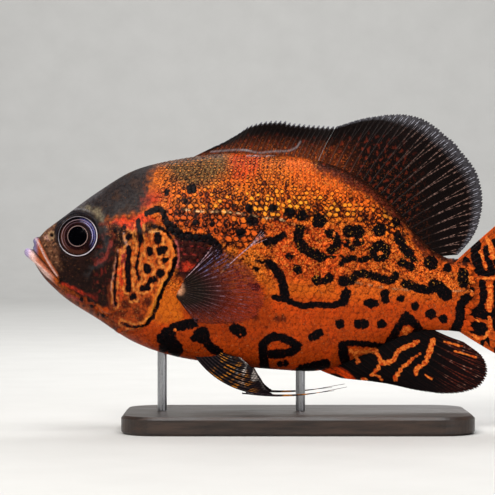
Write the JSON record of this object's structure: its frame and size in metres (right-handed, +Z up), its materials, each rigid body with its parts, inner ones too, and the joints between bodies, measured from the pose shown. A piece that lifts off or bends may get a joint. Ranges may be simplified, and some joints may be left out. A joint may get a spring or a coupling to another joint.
{
  "type": "display model of a tiger oscar fish",
  "caption": "Life-size still model of a tiger oscar fish, swimming level with folded-back side fins, held above a flat base by short rods.",
  "frame": {"origin": "middle of the underside of the stand's base, at the level it rests on", "axes": "the snout points to -X and the tail to +X, the fish's left side is -Y, +Z is up"},
  "size_m": [0.3, 0.092, 0.1728],
  "materials": {
    "head_skin": "smooth wet skin, dark grey-brown",
    "lip_skin": "smooth wet skin, lavender grey to pink",
    "gill_cover_skin": "smooth wet skin, orange with black marks",
    "eye": "clear cornea over a dark maroon iris",
    "scaled_skin": "wet scales, orange with black marks",
    "dark_fin": "dark brown web between bony rays",
    "clear_fin": "thin clear web, purple grey, between fine rays",
    "stand_wood": "dark oiled wood",
    "stand_steel": "brushed"
  },
  "bodies": {
    "root": {"head": "head_skin", "upper_jaw": "lip_skin", "lower_jaw": "lip_skin", "gill_cover_left": "gill_cover_skin", "gill_cover_right": "gill_cover_skin", "eye_left": "eye", "eye_right": "eye", "trunk": "scaled_skin", "tail_stem": "scaled_skin", "dorsal_fin_spiny": "dark_fin", "dorsal_fin_soft": "dark_fin", "anal_fin": "dark_fin", "tail_fin": "dark_fin", "pectoral_fin_left": "clear_fin", "pectoral_fin_right": "clear_fin", "pelvic_fin_left": "dark_fin", "pelvic_fin_right": "dark_fin", "stand_base": "stand_wood", "stand_rod_1": "stand_steel", "stand_rod_2": "stand_steel"}
  },
  "joints": []
}
